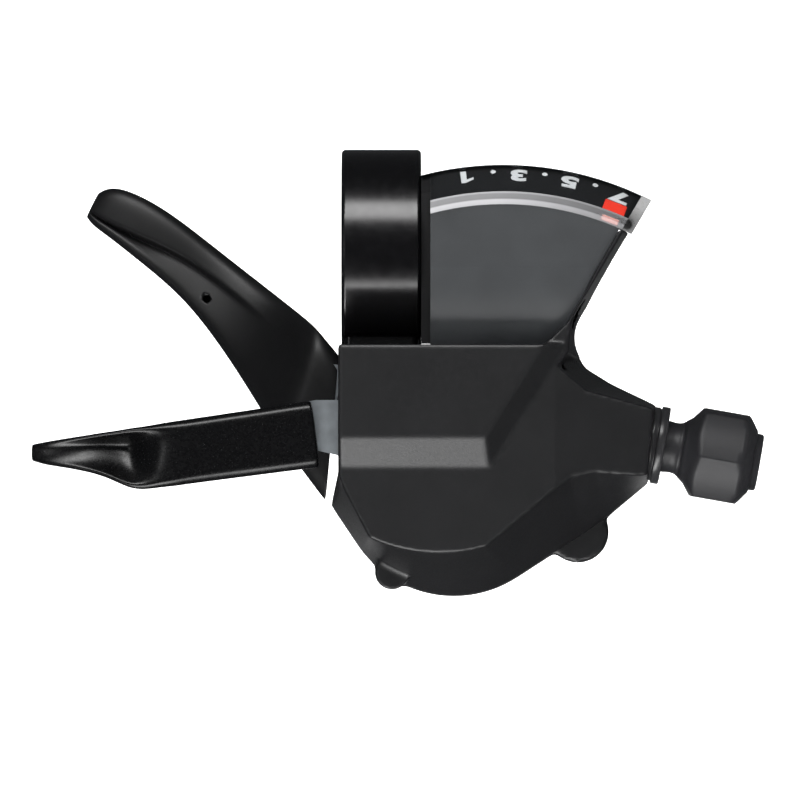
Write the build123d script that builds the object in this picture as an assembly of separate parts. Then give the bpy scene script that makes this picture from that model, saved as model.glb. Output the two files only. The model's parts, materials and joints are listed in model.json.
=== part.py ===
from build123d import *
import math
import os

# Right-hand seven-speed thumb shifter with an optical gear display.
# Millimetres. The origin is the centre of the handlebar clamp's bore. +X runs along the handlebar
# towards the cable adjuster, +Z goes from the mechanism up to the handlebar, and +Y points away
# from the rider, so the front cover lies at negative y.
# Sketches are drawn in x and z and made solid between two depths, back first, then front.

# ---- driving dimensions ----
BAR_R = 11.1                      # handlebar clamp bore, for a 22.2 mm bar
BAR_GAP = 0.4                     # air between the bar and the display head
BAND_R = 14.0
BAND_W = 11.1
EAR_Y = 18.0                      # clamp bolt axis, behind the bar
EAR_END = 22.8
EAR_T = 5.2                       # height of each clamp ear
EAR_SLIT = 1.4

MAIN = (10.1, -32.0)              # main shaft: both levers and the winder turn about it
PAWL = (23.0, -30.8)              # hold pawl shaft
DIAL = (16.93, -33.33)            # needle pivot, centre of the display's arcs
POST_L = (3.6, -17.5)             # two posts that tie the plates together
POST_R = (19.4, -19.2)
REAR_BOSS = (27.35, -39.24)       # round boss at the lower right, behind the cover
FOOT_BOSS = (1.5, -44.8)          # small screw boss at the lower left
COVER_SCREWS = [FOOT_BOSS, (23.8, -16.9), (31.2, -32.2)]

LEFT_X = -5.95
TOP_Z = -13.2
BOTTOM_R = 16.2                   # round underside of the body, about the main shaft
FLOOR_Y = 3.6                     # outside of the rear case
PART_Y = -6.0                     # joint between rear case and front cover
WING_Y = -3.2                     # back of the shallow part that holds the adjuster
LOW_Y = -19.2                     # front of the lower face
HIGH_Y = -21.2                    # front of the raised face
WALL = 2.0
THIN_WALL = 0.9                   # beside the holding pawl

SHAFT_R = 3.0
RUN_FIT = 0.05                    # radial clearance of every turning fit
TOOTH_PITCH = 17.0                # degrees of winder turn for each gear
GEARS = 7
TIP_R = 9.6
ROOT_R = 7.8
DRUM_R = 11.2
GROOVE_R = 9.1
CABLE_Y = -9.0                    # depth of the cable, the drum's groove and the adjuster
CABLE_HEAD_ANGLE = 128.0
SLEEVE_R = 4.9                    # front sleeve of the winder
COLLAR_R = 6.2                    # collar of the retainer plate, which the release lever turns on
PAWL_SHAFT_R = 1.5
NEEDLE_STUD_R = 1.2
DRIVE_FACE = 101.0                # angle of the first tooth face of each ratchet at rest
HOLD_FACE = 46.0
PIVOT_AT = (12.5, 60.0)           # drive pawl pivot on the main lever: radius and angle
SPRING_AT = (12.4, 38.0)          # post of the drive pawl's spring
FOLLOWER_AT = (11.9, 84.0)        # pin on the drive pawl that rides in the guide plate
PAWL_LIFT = 11.5                  # degrees the drive pawl is lifted off its ratchet at rest
RELEASE_PIN = (25.6, -28.2)
LEVER_ANGLE = 142.0               # direction of the main lever's steel arm
BRACKET_X = 2.9                   # countersunk screws through the band's foot
BRACKET_Y = -2.5
SCREW_SEAT = -4.0                 # the cover screws' heads sit this deep

BASE_LAYER = (1.6, 0.4)           # depths of each layer, back and front
LEVER_ARM = (-1.8, -3.8)
DRIVE_LAYER = (-4.0, -5.8)
GUIDE_LAYER = (-6.1, -6.9)
DRUM_LAYER = (-7.6, -10.4)
HOLD_LAYER = (-10.6, -12.2)
RELEASE_LAYER = (-12.4, -13.8)
RETAINER_LAYER = (-14.0, -15.0)
DRIVER_LAYER = (-15.2, -15.9)
NEEDLE_LAYER = (-16.1, -16.7)

DISPLAY_LEFT = 6.8
RIDGE = [(22.44, TOP_Z), (25.5, -10.4), (27.6, -7.0), (29.3, -3.5), (32.9, 2.7)]
RIM_TOP = (34.75, 2.25)
LENS_TIP = (38.4, 8.3)
BASE_R = 39.5                     # radii of the display head, about the needle pivot
BAND_IN_R = 41.3
LENS_R = 45.1
LENS_FRONT = -17.7
LENS_BEND = -16.6
LENS_BACK = -11.6
LENS_T = 0.6
BAND_SLOPE = math.hypot(LENS_R - BAND_IN_R, LENS_BACK - LENS_BEND)
ALONG = ((LENS_R - BAND_IN_R) / BAND_SLOPE, (LENS_BACK - LENS_BEND) / BAND_SLOPE)
OUTWARD = (ALONG[1], -ALONG[0])
TIP_DEPTH = (0.75, 1.0)           # the needle's tip, below the lens surface
DIAL_DEPTH = (1.15, 1.7)
LIP_R = 45.05                     # outer edge of the black carrier, behind the lens's edge
DIAL_END = 7.6                    # how far up the band's slope the number strip reaches
NEEDLE_REST = 68.5                # degrees from +X: the needle points at gear seven
NEEDLE_PIN_R = 2.82               # eccentric pin that turns the needle
NEEDLE_PIN_REST = 118.2

CABLE_TILT = -10.0                # adjuster axis below +X
CABLE_DIR = (math.cos(math.radians(CABLE_TILT)), 0, math.sin(math.radians(CABLE_TILT)))
BUSH_AT = (39.3, -27.3)           # centre of the adjuster boss's end face
BUSH_R = 4.6
FLANGE_R = 5.4
SLEEVE_FIT_R = 3.6                # adjuster sleeve, sliding in the bush
THREAD_R = 2.4
KNOB_START = 2.5                  # places along the cable's axis
KNOB_END = 12.4
KNOB_TURN = 0.0
COLLAR_END = 13.4
CASING_R = 2.6                    # socket of the outer casing
CASING_DEPTH = 5.0
CABLE_HOLE_R = 0.95


# ---- shared shape helpers ----
def polar(centre, radius, angle):
    """The point at a radius and an angle in degrees about a centre."""
    turn = math.radians(angle)
    return (centre[0] + radius * math.cos(turn), centre[1] + radius * math.sin(turn))


def poly(*points):
    """A straight-sided face through the points, always facing the same way."""
    turn = sum(a[0] * b[1] - b[0] * a[1] for a, b in zip(points, points[1:] + points[:1]))
    return Polygon(*(points if turn > 0 else points[::-1]), align=None)


def along_y(sketch, back, front):
    """A sketch of x and z made solid from one depth forward to another."""
    return extrude(Plane.XZ.offset(-back) * sketch, back - front)


def disc(centre, radius, back, front):
    return along_y(Pos(*centre) * Circle(radius), back, front)


def tube(centre, outer, inner, back, front):
    return along_y(Pos(*centre) * (Circle(outer) - Circle(inner)), back, front)


def box(low, high):
    size = [b - a for a, b in zip(low, high)]
    middle = [(a + b) / 2 for a, b in zip(low, high)]
    return Pos(*middle) * Box(*size)


def hull_plate(discs, back, front):
    """A flat plate with a tight outline around (centre, radius) discs."""
    rings = Sketch() + [Pos(*centre) * Circle(radius) for centre, radius in discs]
    return along_y(make_hull(rings.edges()), back, front)


def sector(centre, inner, outer, start, end):
    """A flat ring sector between two angles."""
    far = outer / math.cos(math.radians((end - start) / 4)) * 1.02
    middle = (start + end) / 2
    fan = poly(centre, polar(centre, far, start), polar(centre, far * 1.1, middle),
                  polar(centre, far, end))
    return (Pos(*centre) * (Circle(outer) - Circle(inner))) & fan


def coil(centre, mean_r, wire_r, turns, back, front):
    """A helical spring whose axis is parallel to y."""
    pitch = (back - front - 2 * wire_r) / turns
    start = Plane(origin=(centre[0], back - wire_r, centre[1]), x_dir=(1, 0, 0), z_dir=(0, -1, 0))
    path = start * Helix(pitch=pitch, height=pitch * turns, radius=mean_r)
    return sweep(Plane(path @ 0, z_dir=path % 0) * Circle(wire_r), path)


def tangent_leg(centre, mean_r, wire_r, angle, length, depth):
    """A straight spring end that leaves its coil along the tangent."""
    start = polar(centre, mean_r, angle)
    end = polar(start, length, angle + 90)
    plane = Plane(origin=(start[0], depth, start[1]), z_dir=(end[0] - start[0], 0, end[1] - start[1]))
    return extrude(plane * Circle(wire_r), length)


def cap_screw(centre, shank_r, head_r, head_y, head_t, tip_y, key):
    """A pan head screw from behind: its head starts at head_y and its shank ends at tip_y."""
    head = disc(centre, head_r, head_y + head_t, head_y)
    head = chamfer(head.edges().group_by(Axis.Y)[-1], 0.4)
    socket = along_y(Pos(*centre) * RegularPolygon(key, 6), head_y + head_t, head_y + head_t * 0.4)
    return head - socket + disc(centre, shank_r, head_y, tip_y)


def save(shape, name):
    solids = shape.solids()
    export_step(solids[0] if len(solids) == 1 else Compound(children=list(solids)), f"parts/{name}.step")


# ---- outlines of the body ----
def body_edges(corners):
    """Edges of a body outline: its own corners, then the round underside and the left wall."""
    start = polar(MAIN, BOTTOM_R, -57)
    middle = polar(MAIN, BOTTOM_R, -100)
    end = polar(MAIN, BOTTOM_R, -143.5)
    points = [(LEFT_X, -30.6), (LEFT_X, TOP_Z)] + corners
    edges = [Line(a, b) for a, b in zip(points, points[1:])]
    edges += [Line(points[-1], start), ThreePointArc(start, middle, end), Line(end, (-7.0, -35.6)),
              Line((-7.0, -35.6), points[0])]
    return edges


def body_outline():
    """Widest outline of the body, where rear case and front cover meet."""
    return make_face(body_edges([(26.6, TOP_Z), (28.3, -16.4), (32.0, -18.7), (38.3, -21.7), (37.1, -32.5),
                                 (31.0, -37.6), (27.7, -39.9)]))


def pot_outline():
    """Outline of the deep part of the rear case."""
    return make_face(body_edges([(22.0, TOP_Z), (28.4, -19.0), (30.4, -27.0), (30.4, -36.9)]))


def face_outline():
    """Outline of the cover's lower face, edge for edge with the body outline."""
    points = [(LEFT_X, -31.2), (LEFT_X, TOP_Z), (24.6, TOP_Z), (24.4, -16.4), (28.0, -19.6),
              (37.6, -22.2), (36.8, -31.1), (29.4, -30.3), (26.2, -31.2)]
    start = (14.4, -41.1)
    end = (-1.6, -39.9)
    edges = [Line(a, b) for a, b in zip(points, points[1:])]
    edges += [Line(points[-1], start), ThreePointArc(start, (6.6, -41.9), end),
              Line(end, (-5.1, -33.2)), Line((-5.1, -33.2), points[0])]
    return make_face(edges)


def cover_solid(inset):
    """The front cover's drafted body between its joint and its lower face."""
    base = Plane.XZ.offset(-PART_Y) * offset(body_outline(), -inset, kind=Kind.INTERSECTION)
    front = Plane.XZ.offset(-LOW_Y - inset) * offset(face_outline(), -inset, kind=Kind.INTERSECTION)
    return loft([base.face(), front.face()], ruled=True)


# ---- display head geometry ----
def band_point(distance, depth):
    """Radius and y of a point along the digit band and below its outer surface."""
    return (BAND_IN_R + ALONG[0] * distance - OUTWARD[0] * depth,
            LENS_BEND + ALONG[1] * distance - OUTWARD[1] * depth)


def about_dial(points, start, end):
    """Turn an outline of (radius, y) about the needle pivot between two angles from +X."""
    plane = Plane(origin=(DIAL[0], 0, DIAL[1]), x_dir=(1, 0, 0), z_dir=(0, 0, 1))
    shape = revolve(plane * poly(*points), Axis((DIAL[0], 0, DIAL[1]), (0, -1, 0)),
                    end - start)
    return shape.rotate(Axis((DIAL[0], 0, DIAL[1]), (0, -1, 0)), start)


def display_outline(right_edge):
    """The display seen from the front, up to a chosen right-hand edge."""
    return poly((DISPLAY_LEFT, TOP_Z), *right_edge, (DISPLAY_LEFT, 14.0))


def bar_space(gap):
    """The room the handlebar takes, with air around it."""
    return extrude(Plane.YZ.offset(-60) * Circle(BAR_R + gap), 120)


def window_prism():
    """Everything the display head may fill, left of its ridge and of the lens's end."""
    edge = RIDGE + [RIM_TOP, LENS_TIP, (30.0, 14.0)]
    return along_y(display_outline(edge), 2.0, -21.0)


def needle_room():
    """The fan-shaped space the needle sweeps on its way from the case up into the display."""
    fan = sector(DIAL, 9.0, 19.0, 63.5, 100.5) + sector(DIAL, 18.5, 38.9, 67.2, 99.9)
    return along_y(fan, -12.2, LOW_Y + WALL)


# ---- fixed pieces ----
def clamp_band():
    ring = Plane.YZ.offset(-BAND_W / 2) * Circle(BAND_R)
    body = extrude(ring, BAND_W)
    body = fillet(body.edges(), 0.6)
    ears = box((-BAND_W / 2, 9.0, -EAR_T), (BAND_W / 2, EAR_END, EAR_T))
    ears = fillet(ears.edges().filter_by(Axis.Z).group_by(Axis.Y)[-1], 4.5)
    foot = box((-5.2, -7.0, TOP_Z - 1.0), (5.2, 2.0, -BAR_R))
    foot = fillet(foot.edges().filter_by(Axis.Z), 1.0)
    body = body + ears + foot - bar_space(0)
    body -= box((-BAND_W, 9.0, -EAR_SLIT / 2), (BAND_W, EAR_END + 1, EAR_SLIT / 2))
    body -= Pos(0, EAR_Y, 0) * Cylinder(2.75, 30)
    for side in (-BRACKET_X, BRACKET_X):
        body -= Pos(side, BRACKET_Y, -12.5) * Cylinder(1.55, 6)
        body -= Pos(side, BRACKET_Y, -12.3) * Cone(1.55, 2.65, 1.6)
        body -= Pos(side, BRACKET_Y, -10.5) * Cylinder(2.65, 2)
    return body


def band_room():
    """Pocket in the top of the body for the band and its foot."""
    room = extrude(Plane.YZ.offset(-BAND_W / 2 - 0.1) * Circle(BAND_R + 0.1), BAND_W + 0.2)
    return room + box((-5.3, -7.1, TOP_Z - 1.05), (5.3, 2.1, TOP_Z + 1))


def clamp_bolt():
    head = Pos(0, EAR_Y, -EAR_T - 2.5) * Cylinder(4.25, 5)
    head = chamfer(head.edges().group_by(Axis.Z)[0], 0.5)
    socket = extrude(Plane(origin=(0, EAR_Y, -EAR_T - 5)) * RegularPolygon(2.3, 6), 2.8)
    return head - socket + Pos(0, EAR_Y, (11.0 - EAR_T) / 2) * Cylinder(2.5, 11.0 + EAR_T)


def clamp_nut():
    nut = Pos(0, EAR_Y, EAR_T + 2.0) * extrude(RegularPolygon(4.6, 6), 2.0, both=True)
    return chamfer(nut.edges().group_by(Axis.Z)[-1], 0.4) - Pos(0, EAR_Y, 8) * Cylinder(2.5, 12)


def bracket_screws():
    screws = []
    for side in (-BRACKET_X, BRACKET_X):
        head = Pos(side, BRACKET_Y, -12.3) * Cone(1.5, 2.6, 1.6)
        slot = Pos(side, BRACKET_Y, -11.6) * extrude(RegularPolygon(1.15, 6), 0.8, both=True)
        screws.append(head + Pos(side, BRACKET_Y, -14.6) * Cylinder(1.5, 3.4) - slot)
    return Compound(children=screws)


def rear_case():
    tray = along_y(body_outline(), WING_Y, PART_Y)
    pot = along_y(pot_outline(), FLOOR_Y, PART_Y)
    pot = fillet(pot.edges().group_by(Axis.Y)[-1], 1.2)
    bosses = disc(REAR_BOSS, 4.3, FLOOR_Y, PART_Y) + disc(FOOT_BOSS, 2.4, FLOOR_Y - 1.0, PART_Y)
    case = tray + pot + bosses
    case -= along_y(offset(pot_outline(), -WALL, kind=Kind.INTERSECTION), FLOOR_Y - WALL, PART_Y - 1)
    case -= along_y(offset(body_outline(), -WALL, kind=Kind.INTERSECTION), WING_Y - WALL, PART_Y - 1)
    for centre in COVER_SCREWS:
        case += disc(centre, 2.4, WING_Y - 0.5, PART_Y)
        case -= disc(centre, 1.3, FLOOR_Y + 1, PART_Y - 1) + disc(centre, 2.2, FLOOR_Y + 1, SCREW_SEAT)
    case -= box((-10, LEVER_ARM[1] - 0.5, -36.8), (LEFT_X + WALL + 0.6, LEVER_ARM[0] + 0.5, TOP_Z - WALL))
    case -= band_room()
    for side in (-BRACKET_X, BRACKET_X):
        case -= Pos(side, BRACKET_Y, TOP_Z) * Cylinder(1.6, 8)
    case -= disc(MAIN, 4.6, FLOOR_Y + 1, 0) + bush_body(BUSH_R + 0.02, FLANGE_R + 0.02)
    case -= disc(REAR_BOSS, 2.6, FLOOR_Y + 1, FLOOR_Y - 2.4)
    return case


def cover_screws():
    return Compound(children=[cap_screw(c, 1.25, 2.1, SCREW_SEAT, 1.4, PART_Y - 4.0, 1.0)
                              for c in COVER_SCREWS])


def rear_boss_plug():
    """Domed plug in the round boss at the lower right."""
    plug = disc(REAR_BOSS, 2.6, FLOOR_Y + 0.9, FLOOR_Y - 2.4)
    return fillet(plug.edges().group_by(Axis.Y)[-1], 0.8)


def base_plate():
    plate = hull_plate([(MAIN, 9.0), (PAWL, 2.6), (POST_L, 2.0), (POST_R, 2.2), ((-1.7, -20.0), 2.0)],
                       BASE_LAYER[0], BASE_LAYER[1])
    flange = box((-3.5, -5.8, TOP_Z - 3.1), (12.0, BASE_LAYER[0], TOP_Z - 2.05))
    neck = box((-3.5, BASE_LAYER[1], -20.0), (12.0, BASE_LAYER[0], TOP_Z - 2.05))
    plate = plate + flange + neck
    plate -= disc(MAIN, SHAFT_R, 3, -1)
    for centre, radius in ((PAWL, PAWL_SHAFT_R), (POST_L, 1.1), (POST_R, 1.1)):
        plate -= disc(centre, radius, 3, -1)
    for side in (-BRACKET_X, BRACKET_X):
        plate -= Pos(side, BRACKET_Y, TOP_Z) * Cylinder(1.5, 10)
    return plate


def main_shaft():
    shaft = disc(MAIN, 4.5, 3.0, BASE_LAYER[0]) + disc(MAIN, SHAFT_R, 3.0, -14.9)
    shaft = chamfer(shaft.edges().group_by(Axis.Y)[0], 0.4)
    return shaft - tube(MAIN, SHAFT_R + 1, 2.5, -13.7, -14.3)


def shaft_clip():
    ring = Pos(*MAIN) * (Circle(3.85) - Circle(2.55))
    mouth = Pos(*polar(MAIN, 4, -70)) * Rot(0, 0, 20) * Rectangle(3.0, 4.0)
    return along_y(ring - mouth, -13.75, -14.25)


def shaft_washer():
    return tube(MAIN, 3.9, SHAFT_R + 0.1, -13.25, -13.65)


def pawl_shaft():
    return disc(PAWL, PAWL_SHAFT_R, BASE_LAYER[0], RETAINER_LAYER[1]) - \
        tube(PAWL, PAWL_SHAFT_R + 1, 1.1, -10.1, -10.4)


def plate_posts():
    """Two shouldered posts that carry the guide plate and the retainer plate."""
    posts = []
    for centre in (POST_L, POST_R):
        post = disc(centre, 1.1, BASE_LAYER[0], RETAINER_LAYER[1] - 0.5)
        post += disc(centre, 1.5, GUIDE_LAYER[1], RETAINER_LAYER[0])
        post += disc(centre, 1.8, RETAINER_LAYER[1], RETAINER_LAYER[1] - 0.6)
        posts.append(post)
    return Compound(children=posts)


def retainer_plate():
    plate = hull_plate([(MAIN, 7.4), (PAWL, 2.4), (POST_L, 1.9), (POST_R, 1.9), (DIAL, 2.4)],
                       RETAINER_LAYER[0], RETAINER_LAYER[1])
    plate += disc(MAIN, COLLAR_R, RELEASE_LAYER[0] + 0.05, RETAINER_LAYER[0])
    plate -= disc(MAIN, SLEEVE_R + RUN_FIT, -10, -16)
    for centre, radius in ((PAWL, PAWL_SHAFT_R), (POST_L, 1.1), (POST_R, 1.1), (DIAL, NEEDLE_STUD_R)):
        plate -= disc(centre, radius, -13.9, -16)
    return plate


def needle_stud():
    return disc(DIAL, NEEDLE_STUD_R, RETAINER_LAYER[0], NEEDLE_LAYER[1] - 0.2) + \
        disc(DIAL, 1.7, RETAINER_LAYER[1], NEEDLE_LAYER[0] + 0.1)


def guide_plate():
    """Fixed plate between the posts, whose slot holds the drive pawl clear until the lever moves."""
    plate = hull_plate([(MAIN, 11.0), (POST_L, 1.9), (POST_R, 1.9)], GUIDE_LAYER[0], GUIDE_LAYER[1])
    plate -= disc(MAIN, 7.9, -5, -8)
    plate -= along_y(Pos(*MAIN) * Rectangle(40, 40, align=(Align.CENTER, Align.MAX)), -5, -8)
    for centre in (POST_L, POST_R):
        plate -= disc(centre, 1.1, -5, -8)
    slot = sector(MAIN, FOLLOWER_AT[0] - 1.75, FOLLOWER_AT[0] + 1.05,
                  FOLLOWER_AT[1] - 6, FOLLOWER_AT[1] + 52)
    return plate - along_y(slot, -5, -8)


def front_cover():
    wedge = poly((24, LOW_Y), (45, LOW_Y + 3.3), (45, -24), (24, -24))
    low = cover_solid(0) - extrude(Plane.XY.offset(-50) * wedge, 60)
    raised_low = poly((LEFT_X, TOP_Z), (25.8, TOP_Z), (14.96, -30.3), (LEFT_X, -30.3))
    raised_top = poly((LEFT_X, TOP_Z), (22.44, TOP_Z), (14.4, -26.0), (LEFT_X, -26.0))
    raised = loft([(Plane.XZ.offset(-LOW_Y) * raised_low).face(),
                   (Plane.XZ.offset(-HIGH_Y) * raised_top).face()], ruled=True)
    slab = along_y(raised_low, LOW_Y + 3.0, LOW_Y)
    wing_inside = extrude(Plane.XY.offset(-50) * Pos(0, WALL) * wedge, 60)
    inside = cover_solid(WALL) - wing_inside
    inside += cover_solid(THIN_WALL) & box((14.0, RETAINER_LAYER[1] - 0.4, -43.0), (29.0, PART_Y, -28.0))
    cover = low + slab + raised + display_rim()
    cover -= inside
    raised_inside = poly((LEFT_X + WALL, TOP_Z - WALL), (19.0, TOP_Z - WALL), (12.6, -24.4),
                         (LEFT_X + WALL, -24.4))
    cover -= along_y(raised_inside, LOW_Y + WALL + 1, HIGH_Y + WALL)
    cover -= needle_room()
    for centre in COVER_SCREWS:
        cover += disc(centre, 2.4, PART_Y, PART_Y - 4.2)
        cover -= disc(centre, 1.25, PART_Y + 1, PART_Y - 4.0)
    cover -= box((-10, RELEASE_LAYER[1] - 0.4, -30.4), (LEFT_X + WALL + 0.1, RELEASE_LAYER[0] + 0.4, -15.6))
    cover -= cable_entry(2.4)
    cover -= bush_body(BUSH_R + 0.02, FLANGE_R + 0.02)
    return cover - bar_space(BAR_GAP) - band_room()


def display_rim():
    """The spine that leaves the logo face and frames the display's right side."""
    back = [Line(a, b) for a, b in zip(RIDGE, RIDGE[1:])]
    back += [Line(RIDGE[-1], RIM_TOP), Line(RIM_TOP, (27.7, -9.5)),
             ThreePointArc((27.7, -9.5), (26.9, -12.25), (27.7, -15.0)),
             Line((27.7, -15.0), (24.0, -18.6)), Line((24.0, -18.6), RIDGE[0])]
    front = [Line(a, b) for a, b in zip(RIDGE, RIDGE[1:])]
    front += [Line(RIDGE[-1], (33.5, 2.5)), Line((33.5, 2.5), (26.5, -9.3)),
              ThreePointArc((26.5, -9.3), (26.1, -11.8), (25.9, -14.2)),
              Line((25.9, -14.2), (22.7, -18.1)), Line((22.7, -18.1), RIDGE[0])]
    return loft([(Plane.XZ.offset(8.5) * make_face(back)).face(),
                 (Plane.XZ.offset(-LOW_Y) * make_face(front)).face()], ruled=True)


def display_profile(front_top, front_bend, front_bottom):
    """Everything behind a display surface that bulges about the handlebar's axis."""
    bend = ThreePointArc((front_bottom, TOP_Z), (front_bend + 0.85, -8.2), (front_bend, -2.5))
    edges = [bend, Line((front_bend, -2.5), (front_top, 8.5)), Line((front_top, 8.5), (0, 8.5)),
             Line((0, 8.5), (0, TOP_Z)), Line((0, TOP_Z), (front_bottom, TOP_Z))]
    return extrude(Plane.YZ.offset(DISPLAY_LEFT) * make_face(edges), 32)


def indicator_panel():
    sheet = display_profile(-17.8, -18.2, -15.2) - display_profile(-16.5, -16.9, -13.9)
    inside_ring = disc(DIAL, BASE_R, 1, -22)
    return (sheet & window_prism()) & inside_ring


def indicator_lens():
    outer = [(BASE_R, LENS_FRONT), (BAND_IN_R, LENS_BEND), (LENS_R, LENS_BACK)]
    inner = [band_point(BAND_SLOPE, LENS_T), (BAND_IN_R - 0.42, LENS_BEND + 0.46),
             (BASE_R, LENS_FRONT + 0.7)]
    shell = about_dial(outer + inner, 60, 106)
    thick = about_dial(outer + [(LENS_R - 2.4, LENS_BACK + 1.6), (BASE_R, LENS_BEND + 0.6)], 60, 70)
    end_line = poly(RIM_TOP, LENS_TIP, (LENS_TIP[0] - 1.5, LENS_TIP[1] + 0.4),
                       (RIM_TOP[0] - 1.5, RIM_TOP[1] + 0.4))
    end_wall = thick & along_y(end_line, 2, -21)
    return ((shell + end_wall) & window_prism()) - bar_space(BAR_GAP)


def dial_plate():
    strip = [band_point(0.8, DIAL_DEPTH[0]), band_point(DIAL_END, DIAL_DEPTH[0]),
             band_point(DIAL_END, DIAL_DEPTH[1]), band_point(0.8, DIAL_DEPTH[1])]
    left_stop = along_y(poly((DISPLAY_LEFT + 0.6, 0), (60, 0), (60, 20), (DISPLAY_LEFT + 0.6, 20)), 2, -21)
    return about_dial(strip, 65.8, 106) & left_stop


def indicator_housing():
    """Black carrier of dial, lens and panel, hollow for the needle and saddled over the bar."""
    block = about_dial([(0, -6.0), (LIP_R, -6.0), (LIP_R, -11.1),
                        band_point(DIAL_END, DIAL_DEPTH[0] + 0.1), band_point(1.4, DIAL_DEPTH[1]),
                        (0, band_point(1.4, DIAL_DEPTH[1])[1])], 50, 125)
    cheek = box((BAND_W / 2, -12.5, TOP_Z + 0.1), (DISPLAY_LEFT + 0.1, 2.0, 14.0))
    block = (block & (window_prism() + cheek)) - bar_space(BAR_GAP)
    room = about_dial([(0, -12.1), (39.0, -12.1), band_point(3.0, 3.0), (39.2, -18), (0, -18)], 50, 125)
    left = along_y(poly((DISPLAY_LEFT + 1.2, -20), (60, -20), (60, 20), (DISPLAY_LEFT + 1.2, 20)), 2, -21)
    return block - (room & left) - indicator_lens() - indicator_panel() - dial_plate()


# ---- cable adjuster ----
def adjuster_disc(radius, start, end):
    """A cylinder along the cable's axis, measured outward from the boss's end face."""
    plane = Plane(origin=(BUSH_AT[0], CABLE_Y, BUSH_AT[1]), x_dir=(0, 1, 0), z_dir=CABLE_DIR)
    return extrude(plane.offset(start) * Circle(radius), end - start)


def bush_body(inner_r, flange_r):
    return adjuster_disc(inner_r, -9.0, -0.5) + adjuster_disc(flange_r, -1.15, 0)


def cable_entry(radius):
    """The straight way through the left wall, in line with the cable."""
    return adjuster_disc(radius, -60, -38)


def adjuster_bush():
    bush = bush_body(BUSH_R, FLANGE_R)
    bush = fillet(bush.edges().sort_by(lambda e: -e.center().X + e.center().Z * 0.17)[0], 0.3)
    bush -= adjuster_disc(SLEEVE_FIT_R + RUN_FIT, -4.5, 2)
    return bush - adjuster_disc(THREAD_R + RUN_FIT, -10, 2)


def inner_hole_cap():
    """Screwed cap over the hole through which a cable is changed."""
    cap = adjuster_disc(2.38, -45.85, -43.6)
    slot = adjuster_disc(1.0, -47, -45.2)
    return cap - slot


def adjuster_sleeve():
    return adjuster_disc(SLEEVE_FIT_R, -4.0, KNOB_START - 0.1) - adjuster_disc(THREAD_R + RUN_FIT, -5, KNOB_START)


def adjuster_bolt():
    bolt = adjuster_disc(THREAD_R, -8.5, KNOB_START + 1.5)
    bolt += adjuster_disc(3.4, KNOB_START + 1.5, COLLAR_END)
    bolt -= adjuster_disc(CASING_R, COLLAR_END - CASING_DEPTH, COLLAR_END)
    return bolt - adjuster_disc(CABLE_HOLE_R, -10, COLLAR_END)


def adjuster_knob():
    plane = Plane(origin=(BUSH_AT[0], CABLE_Y, BUSH_AT[1]), x_dir=(0, 1, 0), z_dir=CABLE_DIR)
    lobes = Circle(6.6) & Rot(0, 0, KNOB_TURN) * RegularPolygon(7.16, 6)
    knob = extrude(plane.offset(KNOB_START) * lobes, KNOB_END - KNOB_START)
    side = Plane(origin=plane.origin, x_dir=CABLE_DIR, z_dir=(0, -1, 0))
    turned = poly((KNOB_START, 0), (KNOB_START, 4.0), (3.3, 4.6), (4.7, 6.6), (10.9, 6.6), (KNOB_END, 4.35),
                  (KNOB_END, 0))
    knob &= revolve(side * turned, Axis((BUSH_AT[0], CABLE_Y, BUSH_AT[1]), CABLE_DIR))
    knob += adjuster_disc(3.9, KNOB_END, COLLAR_END)
    knob -= adjuster_disc(3.4, KNOB_START + 1.5, COLLAR_END + 1)
    return knob - adjuster_disc(THREAD_R, KNOB_START - 1, COLLAR_END)


# ---- winder ----
def winder_drum():
    """Cable drum, its hub behind and its sleeve in front, in one piece on the main shaft."""
    low, high = DRUM_LAYER
    drum = disc(MAIN, DRUM_R, low, high) + disc(MAIN, 5.2, DRIVE_LAYER[0], low)
    drum += disc(MAIN, SLEEVE_R, high, -15.15)
    groove = tube(MAIN, DRUM_R + 1, GROOVE_R, CABLE_Y + 0.8, CABLE_Y - 0.8)
    drum = drum - groove + key_ribs(5.2, DRIVE_LAYER) + key_ribs(SLEEVE_R, HOLD_LAYER)
    drum -= tube(MAIN, 7.6, 5.2, low + 1, low - 2.0)
    head_seat = polar(MAIN, GROOVE_R - 0.6, CABLE_HEAD_ANGLE)
    drum -= disc(head_seat, 2.0, low - 0.5, high - 1)
    drum -= disc(MAIN, SHAFT_R + RUN_FIT, 0, -20)
    return drum - disc(MAIN, 4.1, -13.2, -20)


def key_ribs(radius, layer):
    """Two ribs that lock a ratchet to the hub."""
    bar = Pos(*MAIN) * (Rectangle(2 * radius + 1.6, 1.6) & Circle(radius + 0.8))
    return along_y(bar, layer[0], layer[1]) - disc(MAIN, radius - 0.2, 0, -20)


def ratchet(first_face, layer, hub_r):
    """A ratchet plate whose steep tooth faces look clockwise in the rider's view."""
    outline = Pos(*MAIN) * Circle(ROOT_R)
    for tooth in range(GEARS):
        face = first_face - TOOTH_PITCH * tooth
        outline += poly(polar(MAIN, ROOT_R - 1.0, face), polar(MAIN, TIP_R, face),
                           polar(MAIN, TIP_R - 0.15, face + 1.8), polar(MAIN, ROOT_R, face + 14),
                           polar(MAIN, ROOT_R - 1.0, face + 12))
    hole = Pos(*MAIN) * (Circle(hub_r + 0.02) + (Rectangle(2 * hub_r + 1.7, 1.7) & Circle(hub_r + 0.85)))
    return along_y(outline - hole, layer[0], layer[1])


def winder_spring():
    return coil(MAIN, 6.4, 0.4, 2.5, DRUM_LAYER[0] + 0.55, DRUM_LAYER[0] - 1.9)


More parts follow.
